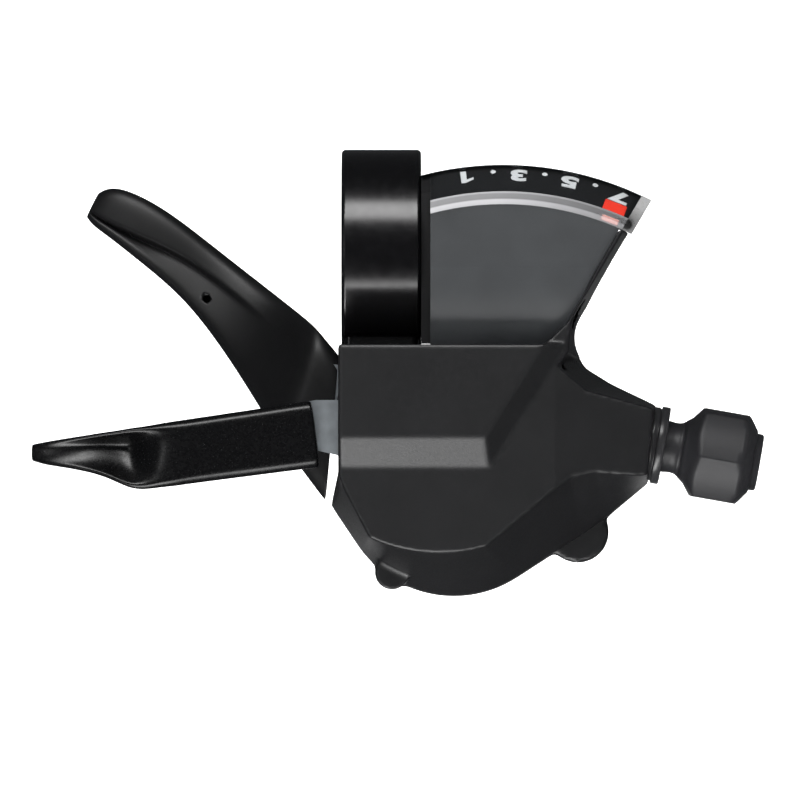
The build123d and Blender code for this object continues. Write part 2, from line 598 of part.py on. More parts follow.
def indicator_driver():
    cap = disc(MAIN, SLEEVE_R - 0.05, DRIVER_LAYER[0], DRIVER_LAYER[1])
    cap += disc(MAIN, 4.05, -14.95, DRIVER_LAYER[0])
    cap -= disc(MAIN, 3.4, -14, -15.05)
    return cap + disc(polar(MAIN, NEEDLE_PIN_R, NEEDLE_PIN_REST), 0.8, DRIVER_LAYER[1], -17.0)


# ---- needle ----
def needle_plane():
    turn = math.radians(NEEDLE_REST)
    return Plane(origin=(DIAL[0], 0, DIAL[1]), x_dir=(math.cos(turn), 0, math.sin(turn)),
                 z_dir=(-math.sin(turn), 0, math.cos(turn)))


def indicator_needle():
    """Bent strip: flat over its pivot, then stepping back and sloping up behind the panel."""
    back, front = NEEDLE_LAYER
    pin_at = polar(MAIN, NEEDLE_PIN_R, NEEDLE_PIN_REST)
    tail_angle = math.degrees(math.atan2(pin_at[1] - DIAL[1], pin_at[0] - DIAL[0]))
    flat = hull_plate([(DIAL, 2.2), (polar(DIAL, 16.0, NEEDLE_REST), 0.8)], back, front)
    flat += hull_plate([(DIAL, 2.2), (polar(DIAL, 10.2, tail_angle), 2.0)], back, front)
    slot = hull_plate([(polar(DIAL, 8.9, tail_angle), 0.92), (polar(DIAL, 10.0, tail_angle), 0.92)],
                      -15, -18)
    rise = poly((15.5, back), (15.5, front), (17.6, front), (20.3, -13.55), (38.6, -15.9),
                   (40.2, -16.0), (40.5, -15.8), (40.2, -15.55), (38.9, -15.3), (20.0, -12.9),
                   (17.2, back))
    strip = extrude(needle_plane().offset(-0.2) * rise, 1.1)
    return flat + strip - slot - disc(DIAL, NEEDLE_STUD_R + RUN_FIT, -15, -18)


def needle_tip():
    """Red marker that lies over the dial, in front of the numbers' lower edge."""
    ends = [band_point(-0.1, TIP_DEPTH[0]), band_point(3.3, TIP_DEPTH[0]),
            band_point(3.3, TIP_DEPTH[1]), band_point(-0.1, TIP_DEPTH[1])]
    return extrude(needle_plane() * poly(*ends), 1.6, both=True) - indicator_needle()


# ---- levers and pawls ----
def main_lever_arm():
    back, front = LEVER_ARM
    plate = hull_plate([(MAIN, 8.0), (polar(MAIN, *PIVOT_AT), 1.9), (polar(MAIN, *SPRING_AT), 1.6)],
                       back, front)
    plate += hull_plate([(MAIN, 3.0), (polar(MAIN, 21.2, LEVER_ANGLE), 3.0)], back, front)
    plate -= disc(MAIN, 4.5, 0, -5)
    return plate - disc(polar(MAIN, *PIVOT_AT), 0.9, 0, -5) - disc(polar(MAIN, *SPRING_AT), 0.8, 0, -5)


def main_lever_bush():
    return tube(MAIN, 4.5, SHAFT_R + RUN_FIT, 0.2, DRIVE_LAYER[0] + 0.1)


def main_lever_spring():
    return coil(MAIN, 5.6, 0.35, 1.6, 0.25, LEVER_ARM[0] + 0.05)


def lever_pins():
    """Riveted pins on the main lever: the drive pawl's pivot and its spring's post."""
    pins = []
    for at, radius in ((PIVOT_AT, 0.9), (SPRING_AT, 0.8)):
        centre = polar(MAIN, *at)
        pins.append(disc(centre, radius, LEVER_ARM[0], DRIVE_LAYER[1] - 0.1)
                    + disc(centre, 1.4, LEVER_ARM[0] + 0.4, LEVER_ARM[0]))
    return Compound(children=pins)


def drive_pawl():
    """Drawn engaged, then lifted clear of the teeth about its pivot, as it rests."""
    centre = polar(MAIN, *PIVOT_AT)
    hook = poly(polar(MAIN, 10.9, 62), polar(MAIN, 10.6, 75), polar(MAIN, 10.4, 85), polar(MAIN, 8.7, 91.6),
                   polar(MAIN, 8.7, 94.2), polar(MAIN, 11.0, 94.6), polar(MAIN, 12.7, 90),
                   polar(MAIN, 13.6, 78), polar(MAIN, 14.3, 62))
    outline = (Pos(*centre) * Circle(1.9)) + hook - (Pos(*centre) * Circle(0.9 + RUN_FIT))
    pawl = along_y(outline, DRIVE_LAYER[0], DRIVE_LAYER[1])
    return pawl.rotate(Axis((centre[0], 0, centre[1]), (0, -1, 0)), -PAWL_LIFT)


def pawl_follower():
    return disc(polar(MAIN, *FOLLOWER_AT), 0.6, DRIVE_LAYER[1], GUIDE_LAYER[1] - 0.1)


def drive_pawl_spring():
    centre = polar(MAIN, *SPRING_AT)
    spring = coil(centre, 1.15, 0.2, 2.5, DRIVE_LAYER[0] - 0.1, DRIVE_LAYER[1] + 0.1)
    return spring + tangent_leg(centre, 1.15, 0.2, SPRING_AT[1] + 11, 3.0, DRIVE_LAYER[0] - 0.9)


def hold_pawl():
    """Two-claw pawl: the upper claw holds the gear, the lower one stops the winder after one tooth."""
    claws = poly(polar(PAWL, 2.4, 40), polar(MAIN, 14.2, 34), polar(MAIN, 13.0, 44), polar(MAIN, 11.5, 46.5),
                 polar(MAIN, 9.8, 45.6), polar(MAIN, 9.8, 43.5), polar(MAIN, 10.9, 35),
                 polar(MAIN, 10.7, 20), polar(MAIN, 10.6, 5), polar(MAIN, 10.7, -15),
                 polar(MAIN, 11.2, -33), polar(MAIN, 11.3, -40.2), polar(MAIN, 9.8, -40.2),
                 polar(MAIN, 9.8, -42.6), polar(MAIN, 11.9, -44.3), polar(MAIN, 12.5, -34),
                 polar(PAWL, 2.4, -75))
    outline = (Pos(*PAWL) * Circle(2.4)) + claws
    outline += make_hull((Pos(*PAWL) * Circle(2.4) + Pos(*RELEASE_PIN) * Circle(1.5)).edges())
    outline -= Pos(*PAWL) * Circle(PAWL_SHAFT_R + RUN_FIT) + Pos(*RELEASE_PIN) * Circle(0.8)
    return along_y(outline, HOLD_LAYER[0], HOLD_LAYER[1])


def release_pin():
    return disc(RELEASE_PIN, 0.8, HOLD_LAYER[0], RELEASE_LAYER[1])


def hold_pawl_spring():
    return coil(PAWL, 2.0, 0.25, 5, -0.2, -6.0)


def release_lever_arm():
    back, front = RELEASE_LAYER
    arm = poly((-12.0, -21.4), (-9.0, -20.9), (-5.0, -20.9), (2.0, -25.0), polar(MAIN, 8.0, 80),
                  polar(MAIN, 8.0, 260), (2.0, -33.0), (-6.2, -28.5), (-12.0, -27.2))
    tail = sector(MAIN, 5.0, 17.2, 30.0, 42.0)
    outline = Pos(*MAIN) * Circle(8.4) + arm + tail - Pos(*MAIN) * Circle(COLLAR_R + RUN_FIT)
    return along_y(outline, back, front)


def release_lever_spring():
    start = (21.5, -21.0)
    length = 1.2
    plane = Plane(origin=(start[0], -13.1, start[1]), z_dir=(-0.75, 0, 0.66))
    path = plane * Helix(pitch=0.5, height=length, radius=0.42)
    return sweep(Plane(path @ 0, z_dir=path % 0) * Circle(0.15), path)


def section_loft(sections):
    """A solid through four-cornered sections: upper and lower (x, z), then front and back y."""
    faces = []
    for (top, bottom, front, back) in sections:
        corners = [(top[0], front, top[1]), (top[0], back, top[1]), (bottom[0], back, bottom[1]),
                   (bottom[0], front, bottom[1])]
        faces.append(Face(Wire([Edge.make_line(a, b) for a, b in zip(corners, corners[1:] + corners[:1])])))
    return loft(faces, ruled=True)


def main_lever_cover():
    """Plastic paddle that passes under the handlebar and rises behind it."""
    sections = [((-39.2, 8.2), (-40.7, 4.6), 15.2, 17.6),
                ((-36.3, 8.6), (-38.0, 2.0), 13.6, 18.4),
                ((-31.3, 6.3), (-34.6, -0.8), 12.6, 18.6),
                ((-26.5, 2.8), (-30.5, -4.1), 12.2, 18.0),
                ((-21.3, -1.3), (-26.0, -8.5), 11.8, 16.8),
                ((-14.6, -6.5), (-21.3, -15.0), 9.6, 14.4),
                ((-9.8, -10.6), (-17.0, -21.8), 5.4, 10.6),
                ((-9.0, -11.4), (-15.0, -25.0), -4.2, 7.4),
                ((-7.2, -13.4), (-12.5, -28.6), -4.3, 4.6),
                ((-6.2, -15.0), (-7.9, -34.8), -4.3, 0.6)]
    return section_loft(sections) - main_lever_arm()


def release_lever_cover():
    """Plastic finger pad of the release lever."""
    sections = [((-48.4, -27.2), (-48.3, -29.3), -12.6, -9.6),
                ((-46.2, -26.7), (-46.0, -29.9), -13.6, -7.6),
                ((-41.0, -25.8), (-41.0, -30.4), -14.6, -6.2),
                ((-36.3, -25.1), (-36.3, -32.0), -15.4, -5.8),
                ((-31.5, -24.3), (-31.5, -33.0), -15.8, -5.8),
                ((-24.0, -23.1), (-24.0, -32.1), -15.9, -7.4),
                ((-15.0, -21.8), (-15.0, -31.0), -15.6, -9.6),
                ((-9.5, -21.0), (-8.6, -27.9), -15.2, -11.0)]
    return section_loft(sections) - release_lever_arm()


PARTS = [clamp_band, clamp_bolt, clamp_nut, bracket_screws, rear_case, cover_screws, rear_boss_plug,
         base_plate, main_shaft, shaft_clip, shaft_washer, pawl_shaft, plate_posts, retainer_plate,
         needle_stud, guide_plate, front_cover, indicator_panel, indicator_lens, dial_plate,
         indicator_housing, adjuster_bush, inner_hole_cap, adjuster_sleeve, adjuster_bolt,
         adjuster_knob, winder_drum, winder_spring, indicator_driver, indicator_needle, needle_tip,
         main_lever_arm, main_lever_bush, main_lever_spring, lever_pins, drive_pawl, pawl_follower,
         drive_pawl_spring, hold_pawl, release_pin, hold_pawl_spring, release_lever_arm,
         release_lever_spring, main_lever_cover, release_lever_cover]

os.makedirs("parts", exist_ok=True)
for part in PARTS:
    save(part(), part.__name__)
save(ratchet(DRIVE_FACE, DRIVE_LAYER, 5.2), "drive_ratchet")
save(ratchet(HOLD_FACE, HOLD_LAYER, SLEEVE_R), "hold_ratchet")
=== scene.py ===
import json
import math

import bmesh
import bpy
from mathutils import Matrix, Vector


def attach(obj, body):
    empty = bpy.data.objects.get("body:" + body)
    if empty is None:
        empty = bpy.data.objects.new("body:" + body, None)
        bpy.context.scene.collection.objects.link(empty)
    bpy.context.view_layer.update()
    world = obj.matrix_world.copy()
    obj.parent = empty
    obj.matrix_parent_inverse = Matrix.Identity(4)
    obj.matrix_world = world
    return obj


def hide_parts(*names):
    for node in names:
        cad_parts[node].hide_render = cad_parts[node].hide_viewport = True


# Right-hand thumb shifter: looks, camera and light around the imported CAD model.
# Objects are in metres. Tables of points are in millimetres and pass through MM once.

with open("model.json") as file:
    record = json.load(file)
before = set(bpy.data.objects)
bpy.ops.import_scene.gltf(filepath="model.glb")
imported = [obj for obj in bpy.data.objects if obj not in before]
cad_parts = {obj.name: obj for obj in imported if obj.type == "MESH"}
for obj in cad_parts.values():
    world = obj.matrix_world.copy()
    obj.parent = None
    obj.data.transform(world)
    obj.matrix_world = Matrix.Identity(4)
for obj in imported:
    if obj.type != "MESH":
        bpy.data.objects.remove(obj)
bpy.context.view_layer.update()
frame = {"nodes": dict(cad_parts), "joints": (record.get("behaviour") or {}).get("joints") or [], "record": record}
NODES = frame["nodes"]
JOINTS = {joint["name"]: joint for joint in frame["joints"]}
SLOTS = {part["node"]: part["material_slot"] for part in frame["record"]["subparts"]}

# ---- driving dimensions, in metres ----
MM = 0.001
VIEW_CENTRE = Vector((0.0026, -0.008, -0.0209))
VIEW_WIDTH = 0.1111               # width of the picture at the view's centre
VIEW_DISTANCE = 2.0
DIAL = Vector(JOINTS["needle_pivot"]["pos_m"])
ADJUSTER_AT = Vector(JOINTS["adjuster_turn"]["pos_m"])
ADJUSTER_AXIS = Vector(JOINTS["adjuster_turn"]["axis"]).normalized()
DEPTH_AXIS = Vector((0, 1, 0))

COVER_VOXEL = 0.0003
CASE_VOXEL = 0.0005
LEVER_LEVELS = 3
HOLE_AT = Vector((-0.0245, 0.0113, -0.0067))

FLOOR_Z = -0.09
WALL_R = 3.6
WALL_TOP = 3.4
SWEEP_R = 0.6

# ---- driving dimensions, in millimetres ----
HOLE_R = 0.55
KNOB_SIDES = 6
KNOB_R = 6.2
KNOB_START = 2.5                  # places along the cable's axis
KNOB_END = 12.45
KNOB_TURN = math.radians(4.5)     # the front ridge lies a little below the axis

LENS_BASE_R = 39.5                # the lens from the inside out: frosted bevel, then clear band
LENS_BAND_R = 41.3
LENS_OUTER_R = 45.1
LENS_BEND_Y = -16.6
LENS_BACK_Y = -11.6
LENS_POST = Vector((0.0340, 0.0, 0.0034))
DISPLAY_LEFT = 6.8
RIM_TOP = (34.75, 2.25)
END_SLOPE = math.radians(58.9)    # direction of the lens's right-hand end
END_WIDTH = 1.5
LENS_STEPS = 72
DIAL_DEPTH = 1.12                 # printed digits below the lens's surface
DIGIT_AT = 5.3                    # places up the sloping band
DOT_AT = 6.1
DIGIT_HEIGHT = 2.64
DIGIT_WIDEN = 1.5
DOT_R = 0.4
PRINT_THICK = 0.04
GEAR_SEVEN_ANGLE = 68.5           # degrees from +X about the needle's pivot
GEAR_STEP = 4.67


# ---- material helpers ----
def new_material(name):
    """A fresh node material and its shader."""
    material = bpy.data.materials.new(name)
    material.use_nodes = True
    return material, material.node_tree, material.node_tree.nodes["Principled BSDF"]


def add(tree, kind, **values):
    """A node whose named inputs are set."""
    node = tree.nodes.new(kind)
    for name, value in values.items():
        node.inputs[name.replace("_", " ")].default_value = value
    return node


def noise(tree, size, detail=2.0, stretch=(1, 1, 1)):
    """Noise in the piece's own space, with features of the given size in metres."""
    place = tree.nodes.new("ShaderNodeTexCoord")
    mapping = tree.nodes.new("ShaderNodeMapping")
    mapping.inputs["Scale"].default_value = stretch
    texture = add(tree, "ShaderNodeTexNoise", Scale=1 / size, Detail=detail)
    tree.links.new(place.outputs["Object"], mapping.inputs["Vector"])
    tree.links.new(mapping.outputs["Vector"], texture.inputs["Vector"])
    return texture.outputs["Fac"]


def ranged(tree, source, low, high):
    """The source, around its middle, spread over low to high."""
    return remapped(tree, source, From_Min=0.3, From_Max=0.7, To_Min=low, To_Max=high)


def ramp(tree, source, stops):
    """Colours along the source, from a list of (position, colour)."""
    node = tree.nodes.new("ShaderNodeValToRGB")
    elements = node.color_ramp.elements
    while len(elements) < len(stops):
        elements.new(0.5)
    for element, (position, colour) in zip(elements, stops):
        element.position = position
        element.color = (*colour, 1)
    tree.links.new(source, node.inputs["Fac"])
    return node.outputs["Color"]


def shades(tree, source, dark, light):
    """The source as a blend of two shades."""
    return ramp(tree, source, [(0.3, dark), (0.7, light)])


def distance_across(tree, centre):
    """Distance, seen from the front, from a centre in metres."""
    place = tree.nodes.new("ShaderNodeTexCoord")
    flat = tree.nodes.new("ShaderNodeVectorMath")
    flat.operation = "MULTIPLY"
    flat.inputs[1].default_value = (1, 0, 1)
    distance = tree.nodes.new("ShaderNodeVectorMath")
    distance.operation = "DISTANCE"
    distance.inputs[1].default_value = (centre.x, 0, centre.z)
    tree.links.new(place.outputs["Object"], flat.inputs[0])
    tree.links.new(flat.outputs["Vector"], distance.inputs[0])
    return distance.outputs["Value"]


def remapped(tree, source, **limits):
    """The source carried linearly from one range to another."""
    node = add(tree, "ShaderNodeMapRange", **limits)
    tree.links.new(source, node.inputs["Value"])
    return node.outputs["Result"]


def bump(tree, shader, source, height):
    """Relief of the given height in metres."""
    node = add(tree, "ShaderNodeBump", Strength=1.0, Distance=height)
    tree.links.new(source, node.inputs["Height"])
    tree.links.new(node.outputs["Normal"], shader.inputs["Normal"])


def scaled(colour, factor):
    return tuple(min(1.0, channel * factor) for channel in colour)


def moulded_plastic(name, colour, roughness, grain=0.00022, depth=0.000006, specular=0.5):
    """Injection-moulded plastic: fine spark-eroded grain, faint mottling, uneven gloss."""
    material, tree, shader = new_material(name)
    broad = noise(tree, 0.006, 3.0)
    fine = noise(tree, grain, 2.0)
    mottled = shades(tree, broad, scaled(colour, 0.88), scaled(colour, 1.12))
    tree.links.new(mottled, shader.inputs["Base Color"])
    tree.links.new(ranged(tree, fine, roughness - 0.05, roughness + 0.05), shader.inputs["Roughness"])
    shader.inputs["Specular IOR Level"].default_value = specular
    bump(tree, shader, fine, depth)
    return material


def gloss_coat(name, colour, roughness):
    """Black anodised or painted alloy: smooth, with a trace of orange peel."""
    material, tree, shader = new_material(name)
    peel = noise(tree, 0.0012, 1.0)
    tree.links.new(shades(tree, peel, scaled(colour, 0.9), scaled(colour, 1.1)), shader.inputs["Base Color"])
    tree.links.new(ranged(tree, peel, roughness - 0.02, roughness + 0.02), shader.inputs["Roughness"])
    bump(tree, shader, peel, 0.0000015)
    return material


def plated_steel(name, colour, roughness, streak=(1, 1, 1), depth=0.000002):
    """Zinc-plated or ground steel with fine streaks along one direction."""
    material, tree, shader = new_material(name)
    lines = noise(tree, 0.00025, 3.0, streak)
    cloud = noise(tree, 0.002, 3.0)
    clouded = shades(tree, cloud, scaled(colour, 0.85), scaled(colour, 1.1))
    tree.links.new(clouded, shader.inputs["Base Color"])
    tree.links.new(ranged(tree, lines, roughness - 0.08, roughness + 0.08), shader.inputs["Roughness"])
    shader.inputs["Metallic"].default_value = 1.0
    bump(tree, shader, lines, depth)
    return material


def lit_plastic(name, colour, strength):
    """Plastic with a painted glow: an emission that stands in for light behind the lens, though the plastic is no
    lamp.
    """
    material, tree, shader = new_material(name)
    shade = shades(tree, noise(tree, 0.0006), scaled(colour, 0.9), colour)
    tree.links.new(shade, shader.inputs["Base Color"])
    tree.links.new(shade, shader.inputs["Emission Color"])
    shader.inputs["Emission Strength"].default_value = strength
    return material


def clear_plastic(name):
    """Clear polycarbonate: see-through, with a gloss that grows towards grazing angles."""
    material, tree, shader = new_material(name)
    tree.nodes.remove(shader)
    through = add(tree, "ShaderNodeBsdfTransparent", Color=(0.94, 0.95, 0.96, 1))
    gloss = tree.nodes.new("ShaderNodeBsdfGlossy")
    tree.links.new(ranged(tree, noise(tree, 0.004), 0.03, 0.06), gloss.inputs["Roughness"])
    facing = add(tree, "ShaderNodeLayerWeight", Blend=0.15)
    edge = remapped(tree, facing.outputs["Facing"], To_Min=0.02, To_Max=0.4)
    mix = tree.nodes.new("ShaderNodeMixShader")
    tree.links.new(edge, mix.inputs["Fac"])
    tree.links.new(through.outputs["BSDF"], mix.inputs[1])
    tree.links.new(gloss.outputs["BSDF"], mix.inputs[2])
    tree.links.new(mix.outputs["Shader"], tree.nodes["Material Output"].inputs["Surface"])
    return material


def frosted_bevel(name):
    """The lens's inner bevel: ground plastic in bands, light at the inner edge, with a painted highlight as the
    light outer edge and painted shade that darkens it to the right.
    """
    material, tree, shader = new_material(name)
    radius = distance_across(tree, DIAL)
    across = remapped(tree, radius, From_Min=LENS_BASE_R * MM, From_Max=LENS_BAND_R * MM)
    # The last two stops, the light outer edge, are a painted highlight.
    shade = [(0.0, 0.33), (0.36, 0.38), (0.46, 0.15), (0.58, 0.17), (0.82, 0.18), (0.9, 0.31), (1.0, 0.34)]
    bands_and_painted_highlight = ramp(tree, across, [(position, (value, value, value * 1.03)) for position, value in shade])
    place = tree.nodes.new("ShaderNodeTexCoord")
    split = tree.nodes.new("ShaderNodeSeparateXYZ")
    tree.links.new(place.outputs["Object"], split.inputs["Vector"])
    # Painted shade: the bevel darkens to half towards its right-hand end.
    painted_shade_to_right = remapped(tree, split.outputs["X"], From_Min=0.016, From_Max=0.033, To_Min=1.0, To_Max=0.5)
    painted_shade_dimmed = tree.nodes.new("ShaderNodeVectorMath")
    painted_shade_dimmed.operation = "SCALE"
    tree.links.new(bands_and_painted_highlight, painted_shade_dimmed.inputs[0])
    tree.links.new(painted_shade_to_right, painted_shade_dimmed.inputs["Scale"])
    tree.links.new(painted_shade_dimmed.outputs["Vector"], shader.inputs["Base Color"])
    fine = noise(tree, 0.0002)
    tree.links.new(ranged(tree, fine, 0.32, 0.42), shader.inputs["Roughness"])
    bump(tree, shader, fine, 0.000008)
    shader.inputs["Alpha"].default_value = 0.72
    return material


def lens_end(name):
    """The lens's whitish end, with the dark round post that shows through it."""
    material, tree, shader = new_material(name)
    across = remapped(tree, distance_across(tree, LENS_POST), From_Min=0.0003, From_Max=0.003)
    shade = [(0.0, 0.004), (0.12, 0.006), (0.19, 0.06), (0.4, 0.12), (1.0, 0.23)]
    glow = ramp(tree, across, [(position, (value, value, value)) for position, value in shade])
    tree.links.new(glow, shader.inputs["Base Color"])
    tree.links.new(ranged(tree, noise(tree, 0.0004), 0.25, 0.35), shader.inputs["Roughness"])
    return material


# ---- materials, one for each of the record's slots ----
MATERIALS = {
    "black_anodised": gloss_coat("black_anodised", (0.0012, 0.0012, 0.0015), 0.23),
    "black_steel": plated_steel("black_steel", (0.06, 0.06, 0.065), 0.42),
    "case_black": moulded_plastic("case_black", (0.0034, 0.0034, 0.0039), 0.42),
    "rubber_black": moulded_plastic("rubber_black", (0.014, 0.014, 0.015), 0.62, 0.0004),
    "zinc_steel": plated_steel("zinc_steel", (0.5, 0.54, 0.57), 0.42, (1, 1, 6)),
    "bright_steel": plated_steel("bright_steel", (0.68, 0.68, 0.7), 0.28, (1, 5, 1)),
    "spring_steel": plated_steel("spring_steel", (0.55, 0.56, 0.58), 0.3),
    "panel_grey": moulded_plastic("panel_grey", (0.0205, 0.0222, 0.024), 0.42, 0.00015, 0.000003),
    "clear_lens": clear_plastic("clear_lens"),
    "dial_black": moulded_plastic("dial_black", (0.002, 0.002, 0.0025), 0.6),
    "bush_grey": gloss_coat("bush_grey", (0.012, 0.012, 0.013), 0.3),
    "lever_black": moulded_plastic("lever_black", (0.002, 0.002, 0.0023), 0.44, 0.0002, 0.000003, 0.34),
    "bearing_nylon": moulded_plastic("bearing_nylon", (0.6, 0.59, 0.56), 0.5),
    "marker_red": moulded_plastic("marker_red", (0.78, 0.035, 0.015), 0.4),
    "knob_black": moulded_plastic("knob_black", (0.009, 0.009, 0.0102), 0.44, 0.00022, 0.000003, 0.3),
}
# Frosted bevel with a painted highlight on its outer edge and painted shade to the right.
FROSTED_PAINTED_LIGHT = frosted_bevel("lens_frosted")
LENS_END = lens_end("lens_end")
LEVER_GLOSS = moulded_plastic("lever_gloss", (0.001, 0.001, 0.0012), 0.28, 0.0004, 0.0000004, 0.36)
# Painted glow: the marker's foot gives off light of its own.
MARKER_FOOT_PAINTED_GLOW = lit_plastic("marker_foot", (1.0, 0.4, 0.32), 1.5)
PRINT_WHITE = moulded_plastic("print_white", (0.55, 0.55, 0.54), 0.55)

for node_name, node in NODES.items():
    node.data.materials.clear()
    node.data.materials.append(MATERIALS[SLOTS[node_name]])


# ---- mesh helpers ----
def piece(name, mesh, body, slot, material=None, replaced=()):
    """A finished piece: linked, with its material, riding on its body."""
    thing = bpy.data.objects.new(name, mesh)
    bpy.context.scene.collection.objects.link(thing)
    if not mesh.materials:
        mesh.materials.append(material or MATERIALS[slot])
    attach(thing, body)
    if replaced:
        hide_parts(*replaced)
    return thing


def applied(mesh, modifiers):
    """The mesh with a list of (modifier type, settings) applied."""
    thing = bpy.data.objects.new("work", mesh)
    bpy.context.scene.collection.objects.link(thing)
    for kind, settings in modifiers:
        modifier = thing.modifiers.new(kind, kind)
        for key, value in settings.items():
            setattr(modifier, key, value)
    depsgraph = bpy.context.evaluated_depsgraph_get()
    result = bpy.data.meshes.new_from_object(thing.evaluated_get(depsgraph))
    bpy.data.objects.remove(thing)
    result.shade_smooth()
    result.materials.clear()
    return result


def finished(name, work):
    """The bmesh as a mesh, its normals outward."""
    bmesh.ops.recalc_face_normals(work, faces=work.faces)
    mesh = bpy.data.meshes.new(name)
    work.to_mesh(mesh)
    work.free()
    return mesh


def welded_copy(node_name):
    """A node's mesh as one closed skin."""
    mesh = NODES[node_name].data.copy()
    work = bmesh.new()
    work.from_mesh(mesh)
    bmesh.ops.remove_doubles(work, verts=work.verts, dist=1e-6)
    work.to_mesh(mesh)
    work.free()
    return mesh


def softened(node_name, voxel, passes):
    """A node with its moulded edges rounded: remeshed, then smoothed."""
    mesh = applied(welded_copy(node_name), [
        ("REMESH", {"mode": "VOXEL", "voxel_size": voxel, "use_smooth_shade": True}),
        ("SMOOTH", {"factor": 0.5, "iterations": passes})])
    mesh.name = node_name + "_soft"
    return mesh


def supported(rings):
    """The rings with one more close to each end, so that a subdivided end keeps its shape."""
    first = [between(a, b, 0.12) for a, b in zip(rings[0], rings[1])]
    last = [between(a, b, 0.12) for a, b in zip(rings[-1], rings[-2])]
    return [rings[0], first] + rings[1:-1] + [last, rings[-1]]


def between(a, b, part):
    return tuple(p + (q - p) * part for p, q in zip(a, b))


def ring_mesh(name, rings, creases=None):
    """A closed skin over rings of points in millimetres, with a crease for each lengthwise line."""
    work = bmesh.new()
    crease = work.edges.layers.float.new("crease_edge")
    rows = [[work.verts.new(Vector(point) * MM) for point in ring] for ring in rings]
    count = len(rings[0])
    for row, following in zip(rows, rows[1:]):
        for k in range(count):
            work.faces.new((row[k], row[(k + 1) % count], following[(k + 1) % count], following[k]))
            edge = work.edges.get((row[k], following[k]))
            edge[crease] = (creases or {}).get(k, 0.0)
    work.faces.new(rows[0][::-1])
    work.faces.new(rows[-1])
    return finished(name, work)


def turned_mesh(name, profile_at, at, axis, side, steps):
    """A closed skin round an axis: profile_at(turn) gives points of (distance along the axis, radius)."""
    other = axis.cross(side)
    work = bmesh.new()
    rows = []
    for step in range(steps):
        turn = math.tau * step / steps
        out = side * math.cos(turn) + other * math.sin(turn)
        points = [at + (axis * along + out * radius) * MM for along, radius in profile_at(turn)]
        rows.append([work.verts.new(point) for point in points])
    for row, following in zip(rows, rows[1:] + rows[:1]):
        for k in range(len(row)):
            last = (k + 1) % len(row)
            work.faces.new((row[k], row[last], following[last], following[k]))
    mesh = finished(name, work)
    mesh.shade_smooth()
    return mesh


def lathe_mesh(name, profile, at, axis, steps=96):
    """A closed turned shape with one profile all round, in millimetres."""
    return turned_mesh(name, lambda turn: profile, at, axis, axis.orthogonal().normalized(), steps)


# ---- moulded covers ----
piece("rear_case_moulding", softened("rear_case", CASE_VOXEL, 4), "root", "case_black",
      replaced=["rear_case"])
piece("front_cover_moulding", softened("front_cover", COVER_VOXEL, 5), "root", "case_black",
      replaced=["front_cover"])

# ---- main lever's paddle ----
# Sections from the tip to the root: upper edge and lower edge as (x, z), how far across the ridge
# lies, how deep the groove under it is, then the depths of the front and of the back.
PADDLE = [
    ((-39.9, 8.1), (-41.5, 4.9), 0.70, 0.7, 15.9, 17.4),
    ((-38.5, 8.95), (-40.6, 3.6), 0.72, 1.2, 14.8, 18.0),
    ((-36.0, 8.8), (-38.0, 1.8), 0.72, 1.5, 13.7, 18.4),
    ((-31.3, 6.5), (-34.6, -0.95), 0.61, 1.6, 12.7, 18.5),
    ((-26.5, 3.0), (-30.5, -4.2), 0.46, 1.5, 12.3, 17.8),
    ((-21.3, -1.15), (-26.2, -8.4), 0.36, 1.0, 11.9, 16.8),
    ((-14.6, -6.35), (-21.4, -15.0), 0.30, 0.0, 8.8, 14.4),
    ((-11.4, -8.9), (-17.6, -21.0), 0.30, 0.0, 2.6, 10.6),
    ((-9.3, -10.6), (-14.8, -25.4), 0.30, 0.0, -3.7, 7.0),
    ((-7.7, -12.6), (-12.4, -28.8), 0.30, 0.0, -4.35, 4.6),
    ((-5.98, -14.6), (-9.0, -33.4), 0.30, 0.0, -4.35, 1.6),
    ((-5.95, -15.0), (-7.7, -35.0), 0.30, 0.0, -4.35, 0.6),
]


def paddle_ring(section):
    """Round the paddle: rolled upper edge, ridge, groove, lower face, rolled lower edge and back."""
    top, low, ridge, groove, front, back = section
    across = [(0.0, front + 1.5), (0.1, front + 0.25), (ridge, front), (ridge + 0.07, front + groove),
              (0.8, front + 0.1 + groove * 0.4), (0.93, front + 0.4), (1.0, front + 1.4)]
    ring = []
    for part, y in across:
        x, z = between(top, low, part)
        ring.append((x, y, z))
    return ring + [(low[0], back, low[1]), (top[0], back, top[1])]


def paddle():
    """The thumb paddle, with the small moulded hole in its face."""
    creases = {0: 0.8, 2: 0.85, 3: 0.5, 6: 0.8, 7: 0.6, 8: 0.6}
    cage = ring_mesh("paddle", supported([paddle_ring(section) for section in PADDLE]), creases)
    pin = lathe_mesh("pin", [(0, 0.01), (0, HOLE_R), (4, HOLE_R), (4, 0.01)], HOLE_AT, DEPTH_AXIS, 24)
    cutter = bpy.data.objects.new("cutter", pin)
    bpy.context.scene.collection.objects.link(cutter)
    mesh = applied(cage, [("SUBSURF", {"levels": LEVER_LEVELS, "render_levels": LEVER_LEVELS}),
                          ("BOOLEAN", {"object": cutter, "operation": "DIFFERENCE"})])
    bpy.data.objects.remove(cutter)
    mesh.name = "main_lever_paddle"
    piece("main_lever_paddle", mesh, "main_lever", "lever_black", replaced=["main_lever_cover"])


paddle()

